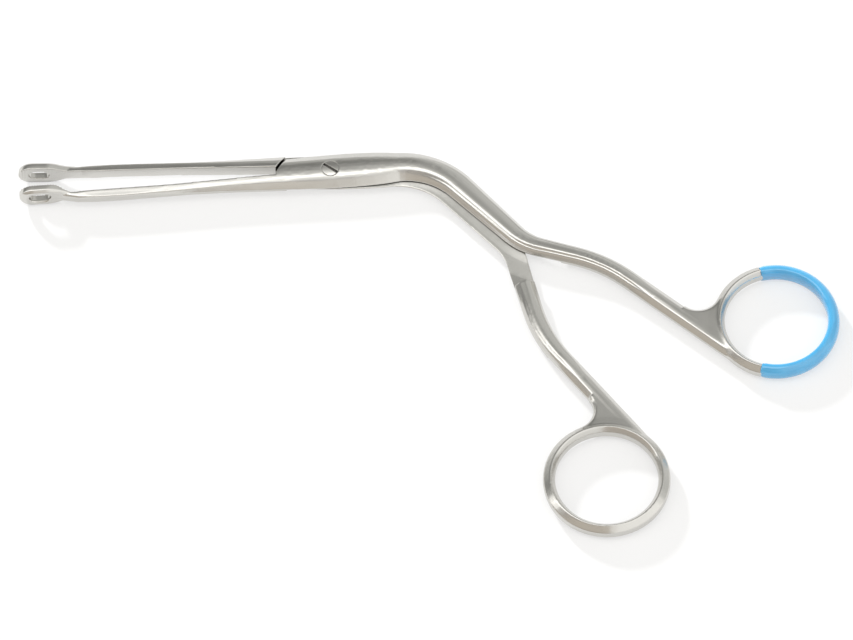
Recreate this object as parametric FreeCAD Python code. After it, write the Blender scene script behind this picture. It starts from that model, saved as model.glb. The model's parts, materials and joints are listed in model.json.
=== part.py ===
import FreeCAD, Part
import math
import os

# Angled intubation forceps: two forged halves crossed in a lap joint on a slotted screw.
# Millimetres. Z is the hinge axis, with +Z out of the face that carries the screw head.
# X runs along the middle line of the closed jaws, tips to -X. The drawing has its origin
# on the hinge. The finished pieces are moved so that it is under the middle of their box,
# and tipped to lie as they rest, on both tips and both rings.
# Each half is drawn in a frame of its own: its jaw on the -Y side, its lap above Z = 0.
# The rear half is then turned over about X, so the same drawing serves both.

# Pose
rest_opening = 3.6

# Jaws, measured from the hinge
jaw_length = 89.8
pad_length = 16.4
pad_half_height = 3.9
pad_thickness = 2.5
pad_rim_bevel = 0.8
pad_neck_length = 8.6
pad_neck_half_height = 1.7
face_length = 10.6
face_ramp = 4.4
window_length = 6.0
window_height = 3.9
window_from_tip = 5.9
window_bevel = 0.45
tooth_pitch = 0.76
tooth_depth = 0.28
toothed_length = 18.6

# Arms: outer edge and slit measured from the middle line of the closed jaws, and the
# first section measured back from the end of the jaw
arm_tip_setback = 16.8
arm_middle_reach = 46.0
arm_root_reach = 19.0
arm_tip_outer = 3.15
arm_middle_outer = 3.75
arm_root_outer = 4.55
slit_tip = 0.85
slit_middle = 1.1
slit_root = 0.75
arm_side_shift = 0.8
arm_inset = 0.45
arm_crease_height = 1.6
arm_half_height = 2.1

# Lap joint
joint_half_width = 5.4
joint_half_length = 9.0
joint_inset = 2.0
joint_crease_height = 1.85
joint_half_height = 2.65
lap_clearance = 0.08
lap_shoulder_reach = 15.75
lap_shoulder_slant = 33.0
lap_shoulder_gap = 0.28
lap_run_past_crossing = 11.8

# Screw
screw_head_diameter = 4.8
screw_head_depth = 1.3
screw_shank_diameter = 3.4
screw_thread_diameter = 3.0
screw_running_gap = 0.03
screw_thread_gap = 0.005
slot_width = 0.8
slot_depth = 0.9
slot_angle = -35.0

# Shank and handle, shared by both halves
edge_half_thickness = 0.45
knee_half_width = 4.7
shank_half_width = 3.75
shank_inset = 1.3
neck_half_width = 3.0
handle_half_width = 2.8
handle_inset = 1.5
handle_crease_height = 2.0
handle_half_height = 2.4
handle_flat_share = 0.78
handle_flat_crown = 0.12
crown_run_out_share = 0.8
knee_radius = 22.5

# Front half: knee, then elbow, then wrist, each turned about Z
front_knee_reach = 30.15
front_knee_angle = -49.8
front_shank_length = 36.6
front_elbow_angle = 30.1
front_elbow_radius = 16.7
front_neck_length = 23.85
front_wrist_angle = -23.0
front_wrist_radius = 42.0
front_handle_length = 50.6

# Rear half, in its own frame
rear_knee_reach = 28.6
rear_knee_angle = 47.9
rear_shank_length = 35.4
rear_elbow_angle = 27.4
rear_elbow_radius = 16.4
rear_neck_length = 29.77
rear_wrist_angle = -23.8
rear_wrist_radius = 45.0
rear_handle_length = 48.04

# Finger rings
ring_radius = 16.5
ring_half_width = 1.75
ring_half_height = 2.7
ring_side_height = 1.0
ring_ridge_offset = -0.35
web_fillet = 6.0
web_half_height = 1.95
web_rim_bevel = 0.9

# Coloured coating on the front ring
coat_thickness = 0.2
coat_proud = 0.04
coat_sweep = 211.0
coat_middle = -4.0

# Steps of the drawing
straight_step = 26.0
bend_step_angle = 15.5
blend_overlap = 0.4
beyond = 6.0

arm_tip_reach = jaw_length - arm_tip_setback

up = FreeCAD.Vector(0, 0, 1)
origin = FreeCAD.Vector(0, 0, 0)


def point(x, y, z=0.0):
    return FreeCAD.Vector(x, y, z)


def heading(angle):
    return point(math.cos(math.radians(angle)), math.sin(math.radians(angle)))


def left_of(direction):
    return point(-direction.y, direction.x)


def arc_edge(start, middle, end):
    return Part.Arc(start, middle, end).toShape()


def between(low, high, share):
    return low + (high - low) * share


def stepped(keys, place):
    # Linear size between named places along the bar
    for (before, size_before), (after, size_after) in zip(keys, keys[1:]):
        if place <= after:
            share = (place - before) / (after - before)
            return between(size_before, size_after, max(share, 0.0))
    return keys[-1][1]


# The line that a half follows


class Bar:
    def __init__(self, knee_reach, turns, lengths, radii):
        self.corners = [point(knee_reach, 0)]
        angle = 0.0
        self.angles = [angle]
        for turn, length in zip(turns, lengths):
            angle = angle + turn
            self.angles.append(angle)
            self.corners.append(self.corners[-1] + heading(angle) * length)
        self.turns = turns
        self.radii = radii

    def bend_reach(self, index):
        return self.radii[index] * math.tan(math.radians(abs(self.turns[index]) / 2))

    def runs(self):
        # Straights and bends in turn: start, heading, length and turn of each
        spot = point(-arm_tip_reach, 0)
        tail = point(-jaw_length + pad_length / 2, 0)
        found = [(tail, 0.0, (spot - tail).Length, 0.0)]
        for index, turn in enumerate(self.turns):
            angle = self.angles[index]
            reach = self.bend_reach(index)
            length = (self.corners[index] - spot).Length - reach
            found.append((spot, angle, length, 0.0))
            entry = spot + heading(angle) * length
            found.append((entry, angle, self.radii[index] * math.radians(abs(turn)), turn))
            spot = self.corners[index] + heading(self.angles[index + 1]) * reach
        for length in self.handle_lengths():
            found.append((spot, self.angles[-1], length, 0.0))
            spot = spot + heading(self.angles[-1]) * length
        return found

    def handle_lengths(self):
        # Straight of the handle: crowned, then the crown runs out, then flat to the ring
        straight = (self.corners[3] - self.corners[2]).Length - self.bend_reach(2)
        flat = straight * handle_flat_share
        run_out = (straight - flat) * crown_run_out_share
        return straight - flat - run_out, run_out, flat

    def stations(self):
        # Sections of each run, with their distance from the hinge
        first = -jaw_length + pad_length / 2
        found = []
        for spot, angle, length, turn in self.runs():
            steps = math.ceil(max(length / straight_step, abs(turn) / bend_step_angle))
            run = []
            for step in range(steps + 1):
                done = length * step / steps
                run.append((first + done, *travel(spot, angle, length, turn, done)))
            found.append(run)
            first = first + length
        return found


def travel(spot, angle, length, turn, distance):
    # Where a straight or a bend has got to after a distance
    if turn == 0.0:
        return spot + heading(angle) * distance, angle
    side = math.copysign(1.0, turn)
    radius = length / math.radians(abs(turn))
    reached = angle + turn * distance / length
    centre = spot + left_of(heading(angle)) * (side * radius)
    return centre - left_of(heading(reached)) * (side * radius), reached


# Sections


def section_wire(half_width, inset, crease, height, side_height, spot, angle):
    # A forged bar's eight-sided section, crowned above and below
    across = left_of(heading(angle))

    def at(offset, rise):
        return spot + across * offset + up * rise

    flat = half_width - inset
    edges = [
        arc_edge(at(-flat, crease), at(0, height), at(flat, crease)),
        Part.makeLine(at(flat, crease), at(half_width, side_height)),
        Part.makeLine(at(half_width, side_height), at(half_width, -side_height)),
        Part.makeLine(at(half_width, -side_height), at(flat, -crease)),
        arc_edge(at(flat, -crease), at(0, -height), at(-flat, -crease)),
        Part.makeLine(at(-flat, -crease), at(-half_width, -side_height)),
        Part.makeLine(at(-half_width, -side_height), at(-half_width, side_height)),
        Part.makeLine(at(-half_width, side_height), at(-flat, crease)),
    ]
    return Part.Wire(edges)


def bar_keys(bar, lean):
    # Sizes of the section by distance from the hinge
    knee_end = bar.corners[0].x + bar.bend_reach(0)
    elbow = knee_end + (bar.corners[1] - bar.corners[0]).Length - bar.bend_reach(0)
    wrist = elbow + (bar.corners[2] - bar.corners[1]).Length
    end = wrist + (bar.corners[3] - bar.corners[2]).Length
    crowned, run_out, flat = bar.handle_lengths()
    knee = bar.corners[0].x - bar.bend_reach(0)
    pad_end = -jaw_length + pad_length / 2
    middle_lean = lean * (arm_middle_reach - arm_root_reach) / (arm_tip_reach - arm_root_reach)
    width = [
        (pad_end, pad_thickness - blend_overlap),
        (-arm_tip_reach, arm_tip_outer + lean),
        (-arm_middle_reach, arm_middle_outer + middle_lean),
        (-arm_root_reach, arm_root_outer),
        (-joint_half_length, joint_half_width),
        (joint_half_length, joint_half_width),
        (knee, knee_half_width),
        (between(knee_end, elbow, 0.5), shank_half_width),
        (elbow + bar.bend_reach(1), neck_half_width),
        (wrist + bar.bend_reach(2), handle_half_width),
        (end, handle_half_width),
    ]
    inset = [
        (-arm_middle_reach, arm_inset),
        (-joint_half_length, joint_inset),
        (knee, joint_inset),
        (between(knee_end, elbow, 0.5), shank_inset),
        (elbow + bar.bend_reach(1), handle_inset),
        (end, handle_inset),
    ]
    crease = [
        (-arm_middle_reach, arm_crease_height),
        (-joint_half_length, joint_crease_height),
        (knee, joint_crease_height),
        (wrist, handle_crease_height),
        (end, handle_crease_height - blend_overlap / 2),
    ]
    height = [
        (-arm_middle_reach, arm_half_height),
        (-joint_half_length, joint_half_height),
        (knee, joint_half_height),
        (wrist, handle_half_height),
        (end - flat - run_out, handle_half_height),
        (end - flat, handle_crease_height + handle_flat_crown),
        (end, handle_crease_height + handle_flat_crown - blend_overlap / 2),
    ]
    return width, inset, crease, height


def bar_blank(bar, lean):
    # The whole forging of a half before its slit and lap are cut
    width, inset, crease, height = bar_keys(bar, lean)
    pieces = []
    for run in bar.stations():
        wires = []
        for place, spot, angle in run:
            wires.append(section_wire(
                stepped(width, place), stepped(inset, place), stepped(crease, place),
                stepped(height, place), edge_half_thickness, spot, angle))
        pieces.append(Part.makeLoft(wires, True, False))
    return pieces[0].fuse(pieces[1:])


def prism(points, low, high):
    corners = [point(spot.x, spot.y, low) for spot in points]
    face = Part.Face(Part.makePolygon(corners + corners[:1]))
    return face.extrude(up * (high - low))


# Tip pads


def s_curve(start, end):
    # Two equal arcs that leave and arrive level
    run = (end.x - start.x) / 2
    rise = (end.z - start.z) / 2
    middle = point((start.x + end.x) / 2, 0, (start.z + end.z) / 2)
    radius = (run * run + rise * rise) / (2 * abs(rise))
    sag = radius - math.sqrt(radius * radius - (run * run) / 4)
    sag = math.copysign(sag, rise)
    first = point(start.x + run / 2, 0, start.z + sag)
    second = point(end.x - run / 2, 0, end.z - sag)
    return [arc_edge(start, first, middle), arc_edge(middle, second, end)]


def pad_blank():
    # Rounded spade of the tip, drawn in X and Z and given its thickness in Y
    nose = -jaw_length
    shoulder = nose + pad_half_height
    flank = nose + pad_length - pad_neck_length
    root = nose + pad_length
    upper = s_curve(point(flank, 0, pad_half_height), point(root, 0, pad_neck_half_height))
    lower = s_curve(point(root, 0, -pad_neck_half_height), point(flank, 0, -pad_half_height))
    edges = [
        arc_edge(point(shoulder, 0, -pad_half_height), point(nose, 0, 0),
                 point(shoulder, 0, pad_half_height)),
        Part.makeLine(point(shoulder, 0, pad_half_height), point(flank, 0, pad_half_height)),
        upper[0],
        upper[1],
        Part.makeLine(point(root, 0, pad_neck_half_height), point(root, 0, -pad_neck_half_height)),
        lower[0],
        lower[1],
        Part.makeLine(point(flank, 0, -pad_half_height), point(shoulder, 0, -pad_half_height)),
    ]
    outline = Part.Face(Part.Wire(edges))
    outline.translate(point(0, -pad_thickness))
    pad = outline.extrude(point(0, pad_thickness + blend_overlap))
    rim = [edge for edge in pad.Edges if is_rim(edge, root)]
    return pad.makeChamfer(pad_rim_bevel, rim)


def is_rim(edge, root):
    box = edge.BoundBox
    on_back = box.YMax < -pad_thickness + 0.01
    return on_back and box.XMin < root - 0.01


def window_outline(grow, y):
    half = window_height / 2 + grow
    middle = -jaw_length + window_from_tip
    reach = (window_length - window_height) / 2
    left = middle - reach
    right = middle + reach
    edges = [
        arc_edge(point(left, y, -half), point(left - half, y, 0), point(left, y, half)),
        Part.makeLine(point(left, y, half), point(right, y, half)),
        arc_edge(point(right, y, half), point(right + half, y, 0), point(right, y, -half)),
        Part.makeLine(point(right, y, -half), point(left, y, -half)),
    ]
    return Part.Wire(edges)


def window_cutter():
    # Oval window with a bevel on the outer side of the pad
    through = Part.Face(window_outline(0, -pad_thickness - beyond))
    hole = through.extrude(point(0, pad_thickness + 2 * beyond))
    inner = window_outline(0, -pad_thickness + window_bevel)
    outer = window_outline(2 * window_bevel, -pad_thickness - window_bevel)
    return hole.fuse(Part.makeLoft([inner, outer], True, True))


# Slit between the arms


def slit_line(lean):
    # Inner side of a jaw, from beyond the tip to the root of the arms
    middle_lean = lean * (arm_middle_reach - arm_root_reach) / (arm_tip_reach - arm_root_reach)
    face_end = -jaw_length + face_length
    return [
        point(-jaw_length - beyond, 0),
        point(face_end, 0),
        point(face_end + face_ramp, -slit_tip - lean),
        point(-arm_middle_reach, -slit_middle - middle_lean),
        point(-arm_root_reach, -slit_root),
        point(-lap_shoulder_reach, -slit_root),
    ]


def slit_height(line, x):
    keys = [(spot.x, spot.y) for spot in line]
    return stepped(keys, x)


def slit_cutter(line):
    # Takes away the other jaw's side, back to the slanted end of the lap
    outward = joint_half_width + beyond
    slant = math.tan(math.radians(lap_shoulder_slant))
    corners = line + [
        point(-lap_shoulder_reach, 0),
        point(-lap_shoulder_reach + outward * slant, outward),
        point(-jaw_length - beyond, outward),
    ]
    tall = pad_half_height + beyond
    return prism(corners, -tall, tall)


def tooth_cutters(line):
    # Cross grooves in the gripping face
    count = int(toothed_length / tooth_pitch)
    tall = pad_half_height + beyond
    cutters = []
    for index in range(count):
        x = -jaw_length + tooth_pitch * (index + 0.5)
        y = slit_height(line, x)
        corners = [
            point(x - tooth_pitch / 2, y + tooth_depth / 2),
            point(x, y - tooth_depth),
            point(x + tooth_pitch / 2, y + tooth_depth / 2),
        ]
        cutters.append(prism(corners, -tall, tall))
    return cutters


# Lap joint


def lap_cutter(bar):
    # Takes the lower thickness away between the two shoulders of the lap
    slant = math.tan(math.radians(lap_shoulder_slant))
    gap = lap_shoulder_gap / math.cos(math.radians(lap_shoulder_slant))
    wide = joint_half_width + beyond
    root = -lap_shoulder_reach - gap
    along = heading(bar.angles[2])
    end = bar.corners[1] + along * lap_run_past_crossing
    away = left_of(along) * wide
    side = math.copysign(1.0, bar.turns[0])
    knee_outside = bar.corners[0] - left_of(heading(bar.angles[0])) * (side * wide)
    corners = [
        point(root + wide * slant, -wide),
        point(root, 0),
        point(root, wide),
    ]
    inside = bar.corners[0] + left_of(heading(bar.angles[1])) * (side * wide)
    if side < 0:
        corners = corners + [knee_outside, end + away, end - away, inside]
    else:
        corners = corners + [inside, end + away, end - away, knee_outside]
    tall = pad_half_height + beyond
    return prism(corners, -tall, lap_clearance / 2)


# Rings


def ring_section(grow):
    # Section of a finger ring: upright sides and slopes up to a ridge nearer the bore
    upper = [
        (ring_half_width + grow, ring_side_height + grow / 2),
        (ring_ridge_offset, ring_half_height + grow),
        (-ring_half_width - grow, ring_side_height + grow / 2),
    ]
    lower = [(x, -z) for x, z in reversed(upper)]
    corners = [point(ring_radius + x, 0, z) for x, z in upper + lower]
    return Part.makePolygon(corners + corners[:1])


def ring_centre(bar):
    outer = ring_radius + ring_half_width - blend_overlap / 4
    return bar.corners[3] + left_of(heading(bar.angles[3])) * (outer - handle_half_width)


def ring_solid(centre):
    ring = Part.Face(ring_section(0)).revolve(origin, up, 360)
    ring.translate(centre)
    return ring


def coat_solid(centre):
    outer = Part.Face(ring_section(coat_proud))
    inner = Part.Face(ring_section(coat_proud - coat_thickness))
    shell = outer.revolve(origin, up, coat_sweep)
    core = inner.revolve(origin, up, coat_sweep)
    coat = shell.cut(core)
    coat.rotate(origin, up, coat_middle - coat_sweep / 2)
    coat.translate(centre)
    return coat


def web_solid(bar, centre):
    # Filled corner between the handle and the ring, with a hollow edge
    along = heading(bar.angles[3])
    across = left_of(along)
    ring_edge = ring_radius + ring_half_width
    handle_edge = ring_edge - blend_overlap / 4 - 2 * handle_half_width
    hollow_side = handle_edge - web_fillet
    hollow_back = math.sqrt((ring_edge + web_fillet) ** 2 - hollow_side ** 2)
    hollow = centre - across * hollow_side - along * hollow_back
    on_handle = hollow - across * web_fillet
    out = hollow - centre
    out.normalize()
    on_ring = centre + out * ring_edge
    mid = (on_handle - hollow) + (on_ring - hollow)
    mid.normalize()
    bury = blend_overlap + handle_inset
    foot = on_handle - across * bury
    deep = centre + out * (ring_radius + blend_overlap)
    tail = centre - across * (ring_radius + blend_overlap)
    edges = [
        arc_edge(on_handle, hollow + mid * web_fillet, on_ring),
        Part.makeLine(on_ring, deep),
        Part.makeLine(deep, tail),
        Part.makeLine(tail, foot),
        Part.makeLine(foot, on_handle),
    ]
    face = Part.Face(Part.Wire(edges))
    face.translate(up * -web_half_height)
    web = face.extrude(up * (2 * web_half_height))
    rim = [edge for edge in web.Edges if is_hollow_edge(edge)]
    return web.makeChamfer(web_rim_bevel, rim)


def is_hollow_edge(edge):
    level = edge.BoundBox.ZLength < 0.01
    return level and not isinstance(edge.Curve, Part.Line)


def ring_bore(centre):
    # Keeps the end of the handle and the web out of the finger hole
    tall = pad_half_height + beyond
    bore = Part.makeCylinder(ring_radius, 2 * tall)
    bore.translate(centre - up * tall)
    return bore


# Halves


def half(bar, lean):
    centre = ring_centre(bar)
    line = slit_line(lean)
    blank = bar_blank(bar, lean)
    handle = blank.fuse(web_solid(bar, centre)).cut(ring_bore(centre))
    jaw = handle.fuse(pad_blank()).cut(slit_cutter(line))
    jaw = jaw.cut([window_cutter()] + tooth_cutters(line))
    lapped = jaw.cut(lap_cutter(bar))
    return lapped.fuse(ring_solid(centre)), blank


def disc(diameter, low, high):
    cylinder = Part.makeCylinder(diameter / 2, high - low)
    cylinder.translate(up * low)
    return cylinder


def turned_over(shape):
    shape.rotate(origin, point(1, 0), 180)
    return shape


def laid(shape, angle):
    shape.rotate(origin, up, angle)
    return shape


def front_half(bar):
    body, blank = half(bar, arm_side_shift)
    seat = joint_half_height - screw_head_depth
    hole = disc(screw_shank_diameter + 2 * screw_running_gap, -beyond, beyond)
    sink = disc(screw_head_diameter + 2 * screw_running_gap, seat, beyond)
    coat = coat_solid(ring_centre(bar))
    return body.cut([hole, sink, coat]), coat, blank


def rear_half(bar):
    body, blank = half(bar, -arm_side_shift)
    hole = disc(screw_thread_diameter + 2 * screw_thread_gap, -beyond, beyond)
    return turned_over(body.cut(hole)), turned_over(blank)


def screw(front_blank, rear_blank):
    # Head and tail take the crown of the halves, so both ends lie flush
    seat = joint_half_height - screw_head_depth + screw_running_gap
    head = disc(screw_head_diameter, seat, beyond).common(front_blank)
    tail = disc(screw_thread_diameter, -beyond, 0).common(rear_blank)
    shank = disc(screw_shank_diameter, lap_clearance / 2, seat)
    joint = disc(screw_thread_diameter, -lap_clearance, lap_clearance)
    slot = Part.makeBox(2 * beyond, slot_width, beyond)
    slot.translate(point(-beyond, -slot_width / 2, joint_half_height - slot_depth))
    slot.rotate(origin, up, slot_angle)
    return head.fuse([shank, joint, tail]).cut(slot)


def rest_turn(front_centre, rear_centre):
    # Axis and angle that bring the tips and both rings down on one flat surface
    outward = left_of(front_centre - rear_centre) * -1
    outward.normalize()
    ring_reach = outward.dot(front_centre) + ring_radius + ring_ridge_offset
    reach = ring_reach + outward.x * (jaw_length - pad_half_height)
    angle = math.degrees(math.atan2(pad_half_height - ring_half_height, reach))
    return left_of(outward), angle


def save(shape, name):
    shape = shape.removeSplitter()
    shape.exportStep("parts/" + name + ".step")
    print(name, shape.isValid(), len(shape.Solids), len(shape.Faces), round(shape.Volume, 1))


def main():
    os.makedirs("parts", exist_ok=True)
    front_bar = Bar(
        front_knee_reach,
        [front_knee_angle, front_elbow_angle, front_wrist_angle],
        [front_shank_length, front_neck_length, front_handle_length],
        [knee_radius, front_elbow_radius, front_wrist_radius])
    rear_bar = Bar(
        rear_knee_reach,
        [rear_knee_angle, rear_elbow_angle, rear_wrist_angle],
        [rear_shank_length, rear_neck_length, rear_handle_length],
        [knee_radius, rear_elbow_radius, rear_wrist_radius])
    front, coat, front_blank = front_half(front_bar)
    rear, rear_blank = rear_half(rear_bar)
    pin = screw(front_blank, rear_blank)
    names = ["front_half", "ring_coating", "rear_half", "pivot_screw"]
    shapes = [front, coat, rear, pin]
    turns = [rest_opening / 2, rest_opening / 2, -rest_opening / 2, -rest_opening / 2]
    front_centre = FreeCAD.Rotation(up, rest_opening / 2).multVec(ring_centre(front_bar))
    rear_centre = ring_centre(rear_bar)
    rear_centre.y = -rear_centre.y
    rear_centre = FreeCAD.Rotation(up, -rest_opening / 2).multVec(rear_centre)
    axis, angle = rest_turn(front_centre, rear_centre)
    for shape, turn in zip(shapes, turns):
        laid(shape, turn)
        shape.rotate(origin, axis, angle)
    box = Part.makeCompound(shapes).optimalBoundingBox()
    shift = point(-box.Center.x, -box.Center.y, -box.ZMin)
    hinge = FreeCAD.Rotation(axis, angle).multVec(up)
    print("hinge", shift, hinge, "ring middles", front_centre, rear_centre)
    for shape, name in zip(shapes, names):
        shape.translate(shift)
        save(shape, name)


main()
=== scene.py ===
import json
import math

import bmesh
import bpy
import numpy as np
from mathutils import Matrix, Vector, kdtree

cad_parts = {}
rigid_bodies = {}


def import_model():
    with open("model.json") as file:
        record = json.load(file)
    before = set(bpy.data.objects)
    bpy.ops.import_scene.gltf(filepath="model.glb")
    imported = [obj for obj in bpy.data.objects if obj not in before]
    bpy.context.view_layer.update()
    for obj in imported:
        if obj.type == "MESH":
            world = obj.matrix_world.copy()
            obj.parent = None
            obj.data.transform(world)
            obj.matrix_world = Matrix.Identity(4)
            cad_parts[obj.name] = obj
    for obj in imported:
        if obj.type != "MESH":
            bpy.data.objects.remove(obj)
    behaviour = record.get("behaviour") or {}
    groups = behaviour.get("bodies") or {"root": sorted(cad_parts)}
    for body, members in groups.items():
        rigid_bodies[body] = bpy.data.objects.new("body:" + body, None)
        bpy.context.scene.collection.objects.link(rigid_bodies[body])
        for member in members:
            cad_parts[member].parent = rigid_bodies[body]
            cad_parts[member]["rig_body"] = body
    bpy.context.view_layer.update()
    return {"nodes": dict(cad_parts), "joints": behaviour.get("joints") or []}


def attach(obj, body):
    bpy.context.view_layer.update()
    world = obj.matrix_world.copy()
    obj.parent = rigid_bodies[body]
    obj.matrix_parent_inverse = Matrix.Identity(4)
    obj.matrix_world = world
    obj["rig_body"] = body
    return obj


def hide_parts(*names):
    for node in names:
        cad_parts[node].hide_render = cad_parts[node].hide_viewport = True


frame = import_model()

mm = 0.001
hinge = frame["joints"][0]
hingeSpot = Vector(hinge["pos_m"])
hingeLine = Vector(hinge["axis"])


def newMaterial(name):
    mat = bpy.data.materials.new(name)
    mat.use_nodes = True
    mat.node_tree.nodes.clear()
    return mat, mat.node_tree.nodes, mat.node_tree.links


def addNode(nodes, kind, **settings):
    node = nodes.new(kind)
    for key, value in settings.items():
        setattr(node, key, value)
    return node


def addNoise(nodes, links, place, size):
    # noise in object space whose blobs are about size mm across
    noise = addNode(nodes, "ShaderNodeTexNoise", noise_dimensions="3D")
    noise.inputs["Scale"].default_value = 1 / (size * mm)
    links.new(place.outputs["Object"], noise.inputs["Vector"])
    return noise


def ramp(nodes, stops):
    node = nodes.new("ShaderNodeValToRGB")
    marks = node.color_ramp.elements
    while len(marks) < len(stops):
        marks.new(0.5)
    for mark, (place, colour) in zip(marks, stops):
        mark.position = place
        mark.color = (*colour, 1)
    return node


steel = {
    "colour": (0.66, 0.65, 0.62),
    "roughness": (0.18, 0.26),
    "roughFrom": (0.3, 0.7),  # share of the cloud noise that the roughness spans
    "cloudSize": 9.0,  # mm
    "cloudDetail": 4,
    "grainSize": 0.25,  # mm
    "grainDepth": 0.004,  # mm
    "edgeRadius": 0.25,  # mm
    # painted shade in hollows: how far the occlusion looks, its dark colour, and the openness
    # where it starts and ends
    "hollowShadeReach": 1.2,  # mm
    "hollowShadeColour": (0.16, 0.155, 0.145),
    "hollowShadeSpan": (0.4, 0.85),  # openness at which a hollow is dark, and bright again
}


def makeSteel(name, look):
    mat, nodes, links = newMaterial(name)
    out = nodes.new("ShaderNodeOutputMaterial")
    shader = nodes.new("ShaderNodeBsdfPrincipled")
    shader.inputs["Metallic"].default_value = 1.0
    links.new(shader.outputs["BSDF"], out.inputs["Surface"])

    # painted shade: slots, gaps and grooves are darkened in the base colour by ambient occlusion
    hollow = addNode(nodes, "ShaderNodeAmbientOcclusion", samples=8, only_local=False)
    hollow.inputs["Distance"].default_value = look["hollowShadeReach"] * mm
    dark, bright = look["hollowShadeSpan"]
    paintedShadeTint = ramp(nodes, [(dark, look["hollowShadeColour"]), (bright, look["colour"])])
    links.new(hollow.outputs["AO"], paintedShadeTint.inputs["Fac"])
    links.new(paintedShadeTint.outputs["Color"], shader.inputs["Base Color"])

    # the satin is duller in soft clouds
    place = nodes.new("ShaderNodeTexCoord")
    cloud = addNoise(nodes, links, place, look["cloudSize"])
    cloud.inputs["Detail"].default_value = look["cloudDetail"]
    rough = nodes.new("ShaderNodeMapRange")
    rough.inputs["From Min"].default_value = look["roughFrom"][0]
    rough.inputs["From Max"].default_value = look["roughFrom"][1]
    rough.inputs["To Min"].default_value = look["roughness"][0]
    rough.inputs["To Max"].default_value = look["roughness"][1]
    links.new(cloud.outputs["Fac"], rough.inputs["Value"])
    links.new(rough.outputs["Result"], shader.inputs["Roughness"])

    # fine grain over rounded edges
    grain = addNoise(nodes, links, place, look["grainSize"])
    edge = addNode(nodes, "ShaderNodeBevel", samples=6)
    edge.inputs["Radius"].default_value = look["edgeRadius"] * mm
    bump = nodes.new("ShaderNodeBump")
    bump.inputs["Strength"].default_value = 1.0
    bump.inputs["Distance"].default_value = look["grainDepth"] * mm
    links.new(grain.outputs["Fac"], bump.inputs["Height"])
    links.new(edge.outputs["Normal"], bump.inputs["Normal"])
    links.new(bump.outputs["Normal"], shader.inputs["Normal"])
    return mat


coating = {
    "colour": (0.078, 0.45, 0.80),
    "deep": (0.066, 0.41, 0.75),
    "toneSpan": (0.35, 0.65),
    "roughness": (0.14, 0.22),
    "specular": 0.8,
    "glazeRoughness": 0.08,
    "cloudSize": 6.0,  # mm
    "waveSize": 1.6,  # mm
    "waveDepth": 0.02,  # mm
}


def makeCoating(name, look):
    mat, nodes, links = newMaterial(name)
    out = nodes.new("ShaderNodeOutputMaterial")
    shader = nodes.new("ShaderNodeBsdfPrincipled")
    shader.inputs["Specular IOR Level"].default_value = look["specular"]
    shader.inputs["Coat Weight"].default_value = 1.0
    shader.inputs["Coat Roughness"].default_value = look["glazeRoughness"]
    links.new(shader.outputs["BSDF"], out.inputs["Surface"])

    place = nodes.new("ShaderNodeTexCoord")
    cloud = addNoise(nodes, links, place, look["cloudSize"])
    deepest, palest = look["toneSpan"]
    tone = ramp(nodes, [(deepest, look["deep"]), (palest, look["colour"])])
    links.new(cloud.outputs["Fac"], tone.inputs["Fac"])
    links.new(tone.outputs["Color"], shader.inputs["Base Color"])
    rough = nodes.new("ShaderNodeMapRange")
    rough.inputs["To Min"].default_value = look["roughness"][0]
    rough.inputs["To Max"].default_value = look["roughness"][1]
    links.new(cloud.outputs["Fac"], rough.inputs["Value"])
    links.new(rough.outputs["Result"], shader.inputs["Roughness"])

    # a dipped coat is slightly wavy
    wave = addNoise(nodes, links, place, look["waveSize"])
    bump = nodes.new("ShaderNodeBump")
    bump.inputs["Distance"].default_value = look["waveDepth"] * mm
    links.new(wave.outputs["Fac"], bump.inputs["Height"])
    links.new(bump.outputs["Normal"], shader.inputs["Normal"])
    links.new(bump.outputs["Normal"], shader.inputs["Coat Normal"])
    return mat


def dress(node, mat):
    piece = frame["nodes"][node]
    for place in piece.material_slots:
        place.material = mat


satin = makeSteel("satinSteel", steel)
blue = makeCoating("blueCoating", coating)
dress("pivot_screw", satin)
print("materials")


# both forged halves, remeshed finely from the solids and smoothed
halves = {
    "voxel": 0.15,  # mm
    "weld": 0.000001,  # m
    "triangles": 190000,
    "smoothing": 0.5,
    "passes": {"all": 2, "soft": 8, "ring": 50, "pad": 30},
    "ringMiddle": {"front_half": (98.54, 3.433), "rear_half": (47.454, -46.063)},  # mm
    "ringReach": (19.5, 1.5),  # mm from the ring's middle, and the fade inside it
    "ringTop": 2.68,  # mm above the ring's mid plane
    "ringMid": 2.844,
    "screwReach": (3.2, 1.2),
    "faceStart": -66.0,  # mm from the hinge, the toothed faces lie beyond
    "faceFade": (0.45, 0.3),  # mm from the toothed face, the next ones too
    "padStart": (70.0, 3.0),
    "padFade": (0.7, 0.6),
}

# middle lines of the two bars from the hinge, in mm and degrees
paths = {
    "front_half": {
        "knee": 30.15, "turns": (-49.8, 30.1, -23.0), "lengths": (36.6, 23.85, 50.6),
        "radii": (22.5, 16.7, 42.0), "opening": 1.8,
    },
    "rear_half": {
        "knee": 28.6, "turns": (-47.9, -27.4, 23.8), "lengths": (35.4, 29.77, 48.04),
        "radii": (22.5, 16.4, 45.0), "opening": -1.8,
    },
}
pathStart = -90.0  # mm, beyond the jaw tips
pathStep = 0.4

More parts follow.
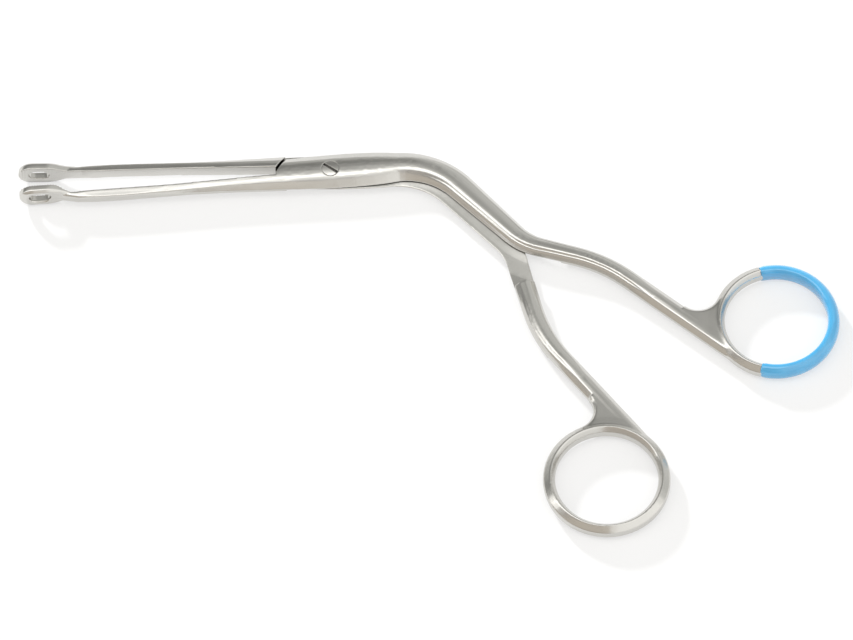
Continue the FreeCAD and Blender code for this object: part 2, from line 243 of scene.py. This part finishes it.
# along each path: distance from the hinge, half width of the crown, its rise, how far its
# ridge is moved to the near side as a share of the half width, half width of the bar, and
# fall of the side facets
crowns = {
    "front_half": [
        (-76, 2.6, 0.5, 0.0, 3.1, 0.0), (-46, 3.0, 0.5, 0.0, 3.5, 0.0),
        (-12, 3.4, 0.8, 0.0, 5.4, 0.0), (10, 3.4, 0.8, 0.0, 5.4, 0.0),
        (20, 2.7, 0.8, 0.0, 4.7, 0.0), (40, 2.5, 0.7, 0.25, 3.8, 1.0),
        (75, 1.5, 0.45, 0.3, 3.0, 1.5), (99, 1.3, 0.4, 0.4, 2.8, 1.5),
        (107, 1.3, 0.12, 0.0, 2.8, 0.0), (140, 1.3, 0.1, 0.0, 2.8, 0.0),
    ],
    "rear_half": [
        (76, 1.5, 0.45, 0.0, 3.0, 0.0), (86, 1.5, 0.45, 0.3, 3.0, 1.5),
        (102, 1.3, 0.4, 0.3, 2.8, 1.5), (110, 1.3, 0.12, 0.0, 2.8, 0.0),
        (140, 1.3, 0.1, 0.0, 2.8, 0.0),
    ],
}
crownShape = {
    "runIn": 6.0,  # mm at both ends of the keys
    "crownPower": 2.3,
    "facetPower": 1.7,
    "crownHeights": (0.4, 1.2),  # mm off the plane of the lap, and the fade above
    "facetHeights": (0.3, 0.8),
}

# the slope of the rear half's flat beside the front half, in mm
lap = {
    "barHalf": 3.5,
    "reach": 7.0,
    "slopes": (0.19, 0.11),
    "bend": 2.2,  # out from the bar, where the slope eases
    "start": (12.0, 8.0),  # from the hinge, and the fade after it
    "end": 85.0,
    "top": 0.3,
    "depth": 1.9,  # the slope dies out at this depth
}


def fade(distance, start, width):
    # 0 before start, 1 beyond start + width
    return np.clip((distance - start) / width, 0, 1)


def direction(angle):
    return np.array([math.cos(angle), math.sin(angle)])


def pathPoints(path):
    # dense points of a path with its headings and distances from the hinge
    angle = math.radians(path["opening"])
    corner = direction(angle) * path["knee"]
    gone = pathStart
    spot = direction(angle) * gone
    places, headings, reached = [], [], []

    def walk(run):
        heading = direction(angle)
        for done in np.arange(0, run, pathStep):
            places.append(spot + heading * done)
            headings.append(angle)
            reached.append(gone + done)

    for turn, length, radius in zip(path["turns"], path["lengths"], path["radii"]):
        reach = radius * math.tan(math.radians(abs(turn) / 2))
        run = np.hypot(*(corner - spot)) - reach
        walk(run)
        heading = direction(angle)
        gone += run
        spot = spot + heading * run
        arc = radius * math.radians(abs(turn))
        side = math.copysign(1.0, turn)
        middle = spot + np.array([-heading[1], heading[0]]) * side * radius
        for done in np.arange(0, arc, pathStep):
            turned = angle + side * done / radius
            outward = np.array([math.sin(turned), -math.cos(turned)])
            places.append(middle + outward * side * radius)
            headings.append(turned)
            reached.append(gone + done)
        gone += arc
        angle += math.radians(turn)
        heading = direction(angle)
        spot = corner + heading * reach
        corner = corner + heading * length
    walk(np.hypot(*(corner - spot)))
    return np.array(places), np.array(headings), np.array(reached)


def alongPath(points, path):
    # distance along a path and offset to its left for each point, in mm
    places, headings, reached = pathPoints(path)
    tree = kdtree.KDTree(len(places))
    for index, (x, y) in enumerate(places):
        tree.insert((x, y, 0), index)
    tree.balance()
    flat = (points[:, :2] - np.array(hingeSpot)[:2]) / mm
    nearest = np.array([tree.find((x, y, 0))[1] for x, y in flat])
    away = flat - places[nearest]
    turn = headings[nearest]
    offset = away[:, 1] * np.cos(turn) - away[:, 0] * np.sin(turn)
    ahead = away[:, 0] * np.cos(turn) + away[:, 1] * np.sin(turn)
    return reached[nearest] + ahead, offset


def hingeRise(points):
    # height over the plane of the lap, in mm
    return ((points - np.array(hingeSpot)) @ np.array(hingeLine)) / mm


def lift(points, change):
    # moves points by mm along the hinge's line
    return points + np.outer(change * mm, np.array(hingeLine))


def shapeCrown(points, node, look):
    keys = np.array(crowns[node])
    reached, offset = alongPath(points, paths[node])
    half, rise, lean, edge, fall = (
        np.interp(reached, keys[:, 0], keys[:, i]) for i in range(1, 6)
    )
    share = np.clip(offset / half, -1, 1)
    old = rise * (1 - share * share)
    side = np.where(share > -lean, (share + lean) / (1 + lean), (share + lean) / (1 - lean))
    new = rise * (1 - np.abs(side) ** look["crownPower"])
    level = hingeRise(points)
    height = np.abs(level)
    inside = fade(reached, keys[0, 0], look["runIn"])
    inside = inside * fade(keys[-1, 0] - reached, 0, look["runIn"])
    onCrown = inside * fade(height, *look["crownHeights"]) * (np.abs(share) < 1)
    onFacet = inside * fade(height, *look["facetHeights"])
    down = fade(np.abs(offset), half, edge - half)
    change = onCrown * (new - old) + onFacet * fall * (down - down ** look["facetPower"])
    return lift(points, np.sign(level) * change)


def shapeLap(points, look):
    reached, offset = alongPath(points, paths["front_half"])
    level = hingeRise(points)
    beside = np.clip(-offset - look["barHalf"], 0, look["reach"])
    near = look["slopes"][0] * np.minimum(beside, look["bend"])
    far = look["slopes"][1] * np.maximum(beside - look["bend"], 0)
    drop = (near + far) * fade(reached, *look["start"])
    share = np.clip(1 + level / look["depth"], 0, 1)
    zone = (reached < look["end"]) & (level < look["top"])
    return lift(points, np.where(zone, -drop * share, 0))


def bake(piece):
    graph = bpy.context.evaluated_depsgraph_get()
    mesh = bpy.data.meshes.new_from_object(piece.evaluated_get(graph))
    piece.modifiers.clear()
    piece.data = mesh


def readPoints(mesh):
    flat = np.empty(len(mesh.vertices) * 3)
    mesh.vertices.foreach_get("co", flat)
    return flat.reshape(-1, 3)


def writePoints(mesh, points):
    mesh.vertices.foreach_set("co", points.ravel())
    mesh.update()


def addGroup(piece, name, weights):
    group = piece.vertex_groups.new(name=name)
    levels = np.round(weights, 1)
    for level in np.unique(levels):
        if level > 0:
            group.add(np.nonzero(levels == level)[0].tolist(), float(level), "REPLACE")


def ringWeight(points, node, look):
    middle = np.array(look["ringMiddle"][node]) * mm
    away = np.hypot(points[:, 0] - middle[0], points[:, 1] - middle[1])
    reach, width = look["ringReach"]
    return 1 - fade(away, (reach - width) * mm, width * mm)


def jawPlaces(points, node):
    # distance along and across the closed jaws, mm from the hinge
    turn = -math.radians(paths[node]["opening"])
    x = (points[:, 0] - hingeSpot.x) / mm
    y = (points[:, 1] - hingeSpot.y) / mm
    along = x * math.cos(turn) - y * math.sin(turn)
    across = x * math.sin(turn) + y * math.cos(turn)
    return along, across


def jawWeights(points, node, look):
    # the teeth and the screw's seat stay crisp, the pads behind the teeth get rounder
    along, across = jawPlaces(points, node)
    away = np.abs(across)
    face = np.where(along < look["faceStart"], fade(away, *look["faceFade"]), 1.0)
    soft = fade(np.hypot(along, across), *look["screwReach"]) * face
    pad = fade(-along, *look["padStart"]) * fade(away, *look["padFade"])
    return face, soft, pad


def smoothHalf(piece, node, look):
    points = readPoints(piece.data)
    face, soft, pad = jawWeights(points, node, look)
    addGroup(piece, "pad", pad)
    addGroup(piece, "ring", ringWeight(points, node, look))
    addGroup(piece, "soft", soft)
    addGroup(piece, "all", face)
    for name, passes in look["passes"].items():
        smooth = piece.modifiers.new(name, "SMOOTH")
        smooth.factor = look["smoothing"]
        smooth.iterations = passes
        smooth.vertex_group = name
    bake(piece)


def restoreRing(points, node, look):
    # smoothing lowers the ring, so it is raised to its full height again
    ring = ringWeight(points, node, look)
    rise = points[:, 2] / mm - look["ringMid"]
    top = np.max(np.abs(rise[ring > 0.99]))
    scale = 1 + ring * (look["ringTop"] / top - 1)
    points[:, 2] = (look["ringMid"] + rise * scale) * mm
    print(node, "ring top", round(float(top), 3))
    return points


def refineHalf(node, mat, look):
    cad = frame["nodes"][node]
    piece = bpy.data.objects.new("fine_" + node, cad.data.copy())
    bpy.context.scene.collection.objects.link(piece)
    weld = piece.modifiers.new("weld", "WELD")
    weld.merge_threshold = look["weld"]
    grid = piece.modifiers.new("grid", "REMESH")
    grid.mode = "VOXEL"
    grid.voxel_size = look["voxel"] * mm
    grid.use_smooth_shade = True
    bake(piece)
    smoothHalf(piece, node, look)
    points = restoreRing(readPoints(piece.data), node, look)
    points = shapeCrown(points, node, crownShape)
    if node == "rear_half":
        points = shapeLap(points, lap)
    writePoints(piece.data, points)
    trim = piece.modifiers.new("trim", "DECIMATE")
    trim.ratio = look["triangles"] / (2 * len(piece.data.polygons))
    bake(piece)
    mesh = piece.data
    mesh.materials.clear()
    mesh.materials.append(mat)
    mesh.polygons.foreach_set("use_smooth", [True] * len(mesh.polygons))
    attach(piece, cad["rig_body"])
    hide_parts(node)
    print(node, len(mesh.polygons), "faces")


refineHalf("front_half", satin, halves)
refineHalf("rear_half", satin, halves)


# the dipped coat on the front ring, a closed sleeve with rounded ends
sleeve = {
    "middle": (98.54, 3.433, 2.847),  # mm
    "radius": 16.5,
    "halfWidth": 1.76,
    "halfHeight": 2.72,
    "ridge": -0.35,
    "roundness": 0.92,
    "thickness": 0.2,
    "sweep": 211.0,  # degrees
    "heading": -2.2,
    "around": 40,
    "along": 170,
    "lip": (0.12, 0.35, 0.7, 1.0),  # rise of the first rows at each end
}


def sleevePoint(look, turn, share, depth):
    # share runs once round the section, depth is measured in from the surface
    t = 2 * math.pi * share
    side = math.cos(t)
    rise = math.sin(t)
    power = look["roundness"]
    x = math.copysign(abs(side) ** power, side) * (look["halfWidth"] - depth)
    x += look["ridge"] * rise * rise
    z = math.copysign(abs(rise) ** power, rise) * (look["halfHeight"] - depth)
    reach = look["radius"] + x
    cx, cy, cz = look["middle"]
    return Vector((cx + reach * math.cos(turn), cy + reach * math.sin(turn), cz + z)) * mm


def addSleeve(look, mat):
    mesh = bmesh.new()
    around, along = look["around"], look["along"]
    start = math.radians(look["heading"] - look["sweep"] / 2)
    sweep = math.radians(look["sweep"])

    def addRow(row, depth):
        turn = start + sweep * row / along
        return [mesh.verts.new(sleevePoint(look, turn, i / around, depth)) for i in range(around)]

    def lipDepth(row):
        fromEnd = min(row, along - row)
        rise = look["lip"][fromEnd] if fromEnd < len(look["lip"]) else 1.0
        return look["thickness"] * (1 - rise)

    rows = [addRow(row, lipDepth(row)) for row in range(along + 1)]
    inner = [addRow(row, look["thickness"]) for row in range(along + 1)]
    for strip, flip in ((rows, False), (inner, True)):
        for a, b in zip(strip, strip[1:]):
            for i in range(around):
                j = (i + 1) % around
                corners = (a[i], b[i], b[j], a[j])
                mesh.faces.new(corners[::-1] if flip else corners)
    for a, b, flip in ((rows[0], inner[0], True), (rows[-1], inner[-1], False)):
        for i in range(around):
            j = (i + 1) % around
            corners = (a[i], a[j], b[j], b[i]) if flip else (a[j], a[i], b[i], b[j])
            mesh.faces.new(corners)
    bmesh.ops.recalc_face_normals(mesh, faces=mesh.faces)
    data = bpy.data.meshes.new("coat")
    mesh.to_mesh(data)
    mesh.free()
    data.materials.append(mat)
    data.polygons.foreach_set("use_smooth", [True] * len(data.polygons))
    piece = bpy.data.objects.new("fine_coat", data)
    bpy.context.scene.collection.objects.link(piece)
    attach(piece, frame["nodes"]["ring_coating"]["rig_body"])
    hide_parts("ring_coating")


addSleeve(sleeve, blue)
print("coating sleeve")


photo = {
    "turn": 2.59,  # degrees about the hinge
    "elevation": 60.76,
    "width": 245.65,  # mm across the picture
    "hingePlace": (-27.7, 42.55),  # mm right of and above the picture's middle
    "distance": 6000.0,  # mm
    "sensor": 36.0,
    "clip": (0.1, 20),  # m
}


def addCamera(view):
    turn = math.radians(view["turn"])
    rise = math.radians(view["elevation"])
    right = Vector((math.cos(turn), -math.sin(turn), 0))
    back = Vector((
        -math.sin(turn) * math.cos(rise), -math.cos(turn) * math.cos(rise), math.sin(rise)
    ))
    # the view was fitted to the plane of the joint, which leans a little at rest
    tilt = Vector((0, 0, 1)).rotation_difference(hingeLine).to_matrix()
    right = tilt @ right
    back = tilt @ back
    above = back.cross(right)
    aside, up = view["hingePlace"]
    middle = hingeSpot - right * aside * mm - above * up * mm
    data = bpy.data.cameras.new("camera")
    data.sensor_width = view["sensor"]
    data.lens = view["sensor"] * view["distance"] / view["width"]
    data.clip_start, data.clip_end = view["clip"]
    cam = bpy.data.objects.new("camera", data)
    bpy.context.scene.collection.objects.link(cam)
    pose = Matrix((right, above, back)).transposed().to_4x4()
    pose.translation = middle + back * view["distance"] * mm
    cam.matrix_world = pose
    bpy.context.scene.camera = cam


addCamera(photo)


floorLook = {
    "size": 6.0,  # m
    "colour": (0.86, 0.86, 0.86),  # as it lights the object from below
    "seenColour": (0.42, 0.42, 0.42),  # as the camera and reflections see it
    "lift": 0.56,  # glow that makes the floor white to the camera
    "mirrorLift": 0.52,  # glow in reflections
}


def addFloor(look):
    half = look["size"] / 2
    corners = [(-half, -half, 0), (half, -half, 0), (half, half, 0), (-half, half, 0)]
    mesh = bpy.data.meshes.new("floor")
    mesh.from_pydata(corners, [], [(0, 1, 2, 3)])
    floor = bpy.data.objects.new("floor", mesh)
    bpy.context.scene.collection.objects.link(floor)
    mat, nodes, links = newMaterial("paleFloor")
    out = nodes.new("ShaderNodeOutputMaterial")
    path = nodes.new("ShaderNodeLightPath")
    paint = nodes.new("ShaderNodeBsdfDiffuse")
    paint.inputs["Color"].default_value = (*look["colour"], 1)
    seenPaint = nodes.new("ShaderNodeBsdfDiffuse")
    seenPaint.inputs["Color"].default_value = (*look["seenColour"], 1)
    glow = nodes.new("ShaderNodeEmission")
    glow.inputs["Strength"].default_value = look["lift"]
    mirrorGlow = nodes.new("ShaderNodeEmission")
    mirrorGlow.inputs["Strength"].default_value = look["mirrorLift"]
    glowPick = nodes.new("ShaderNodeMixShader")
    links.new(path.outputs["Is Camera Ray"], glowPick.inputs["Fac"])
    links.new(mirrorGlow.outputs["Emission"], glowPick.inputs[1])
    links.new(glow.outputs["Emission"], glowPick.inputs[2])
    both = nodes.new("ShaderNodeAddShader")
    links.new(seenPaint.outputs["BSDF"], both.inputs[0])
    links.new(glowPick.outputs["Shader"], both.inputs[1])
    seen = addNode(nodes, "ShaderNodeMath", operation="ADD")
    links.new(path.outputs["Is Camera Ray"], seen.inputs[0])
    links.new(path.outputs["Is Glossy Ray"], seen.inputs[1])
    pick = nodes.new("ShaderNodeMixShader")
    links.new(seen.outputs[0], pick.inputs["Fac"])
    links.new(paint.outputs["BSDF"], pick.inputs[1])
    links.new(both.outputs["Shader"], pick.inputs[2])
    links.new(pick.outputs["Shader"], out.inputs["Surface"])
    mesh.materials.append(mat)


studio = {
    "heading": 2.59,  # degrees, the same turn as the camera's
    # brightness over the object from the near horizon (0) past overhead (90) to the far one (180)
    "arch": [
        (0, (0.50, 0.46, 0.42)),
        (29, (0.60, 0.55, 0.49)),
        (48, (0.72, 0.66, 0.58)),
        (57, (0.34, 0.32, 0.30)),
        (62, (0.24, 0.23, 0.22)),
        (68, (0.75, 0.74, 0.72)),
        (76, (1.45, 1.44, 1.41)),
        (83, (2.40, 2.38, 2.35)),
        (90, (2.40, 2.38, 2.35)),
        (97, (1.15, 1.14, 1.12)),
        (106, (0.70, 0.70, 0.68)),
        (116, (0.46, 0.46, 0.44)),
        (126, (0.33, 0.33, 0.32)),
        (137, (0.24, 0.24, 0.23)),
        (148, (0.27, 0.27, 0.26)),
        (161, (0.50, 0.50, 0.48)),
        (180, (0.62, 0.62, 0.60)),
    ],
    # the same towards the side where the handles point
    "eastArch": [
        (0, (0.80, 0.79, 0.77)),
        (30, (1.15, 1.14, 1.12)),
        (55, (1.20, 1.19, 1.17)),
        (76, (1.30, 1.29, 1.26)),
        (97, (1.00, 0.99, 0.97)),
        (112, (0.72, 0.72, 0.70)),
        (130, (0.66, 0.66, 0.64)),
        (150, (0.68, 0.68, 0.66)),
        (165, (0.72, 0.72, 0.70)),
        (180, (0.80, 0.80, 0.78)),
    ],
    "eastFade": (0.02, 0.20),
}


def addWorld(look):
    world = bpy.data.worlds.new("studio")
    bpy.context.scene.world = world
    world.use_nodes = True
    nodes = world.node_tree.nodes
    links = world.node_tree.links
    nodes.clear()

    # share of the way over the object, from the near horizon to the far one
    place = nodes.new("ShaderNodeTexCoord")
    turn = addNode(nodes, "ShaderNodeVectorRotate", rotation_type="Z_AXIS")
    turn.inputs["Angle"].default_value = math.radians(look["heading"])
    parts = nodes.new("ShaderNodeSeparateXYZ")
    near = addNode(nodes, "ShaderNodeMath", operation="MULTIPLY")
    near.inputs[1].default_value = -1.0
    lean = addNode(nodes, "ShaderNodeMath", operation="ARCTAN2")
    share = addNode(nodes, "ShaderNodeMath", operation="DIVIDE")
    share.inputs[1].default_value = math.pi
    links.new(place.outputs["Generated"], turn.inputs["Vector"])
    links.new(turn.outputs["Vector"], parts.inputs["Vector"])
    links.new(parts.outputs["Y"], near.inputs[0])
    links.new(parts.outputs["Z"], lean.inputs[0])
    links.new(near.outputs[0], lean.inputs[1])
    links.new(lean.outputs[0], share.inputs[0])

    # the two arches, blended sideways
    blend = addNode(nodes, "ShaderNodeMix", data_type="RGBA")
    for arch, socket in (("arch", "A"), ("eastArch", "B")):
        shade = ramp(nodes, [(angle / 180, colour) for angle, colour in look[arch]])
        links.new(share.outputs[0], shade.inputs["Fac"])
        links.new(shade.outputs["Color"], blend.inputs[socket])
    side = nodes.new("ShaderNodeMapRange")
    side.inputs["From Min"].default_value = look["eastFade"][0]
    side.inputs["From Max"].default_value = look["eastFade"][1]
    links.new(parts.outputs["X"], side.inputs["Value"])
    links.new(side.outputs["Result"], blend.inputs["Factor"])
    soft = nodes.new("ShaderNodeBackground")
    links.new(blend.outputs["Result"], soft.inputs["Color"])

    # plain white behind the object
    plain = nodes.new("ShaderNodeBackground")
    plain.inputs["Color"].default_value = (1, 1, 1, 1)
    path = nodes.new("ShaderNodeLightPath")
    pick = nodes.new("ShaderNodeMixShader")
    out = nodes.new("ShaderNodeOutputWorld")
    links.new(path.outputs["Is Camera Ray"], pick.inputs["Fac"])
    links.new(soft.outputs["Background"], pick.inputs[1])
    links.new(plain.outputs["Background"], pick.inputs[2])
    links.new(pick.outputs["Shader"], out.inputs["Surface"])


lamp = {
    "heading": 119.0,  # degrees about +Z, where the light comes from
    "height": 22.0,  # degrees above the floor
    "distance": 1.8,  # m
    "size": 0.16,
    "power": 30.0,
}


def addLamp(look):
    data = bpy.data.lights.new("softbox", "AREA")
    data.shape = "DISK"
    data.size = look["size"]
    data.energy = look["power"]
    box = bpy.data.objects.new("softbox", data)
    bpy.context.scene.collection.objects.link(box)
    turn = math.radians(look["heading"])
    rise = math.radians(look["height"])
    away = Vector((
        math.cos(turn) * math.cos(rise), math.sin(turn) * math.cos(rise), math.sin(rise)
    ))
    box.location = away * look["distance"]
    box.rotation_euler = away.to_track_quat("Z", "Y").to_euler()
    box.visible_glossy = False


addFloor(floorLook)
addWorld(studio)
addLamp(lamp)
bpy.context.scene.view_settings.view_transform = "Standard"
print("camera, floor and light")
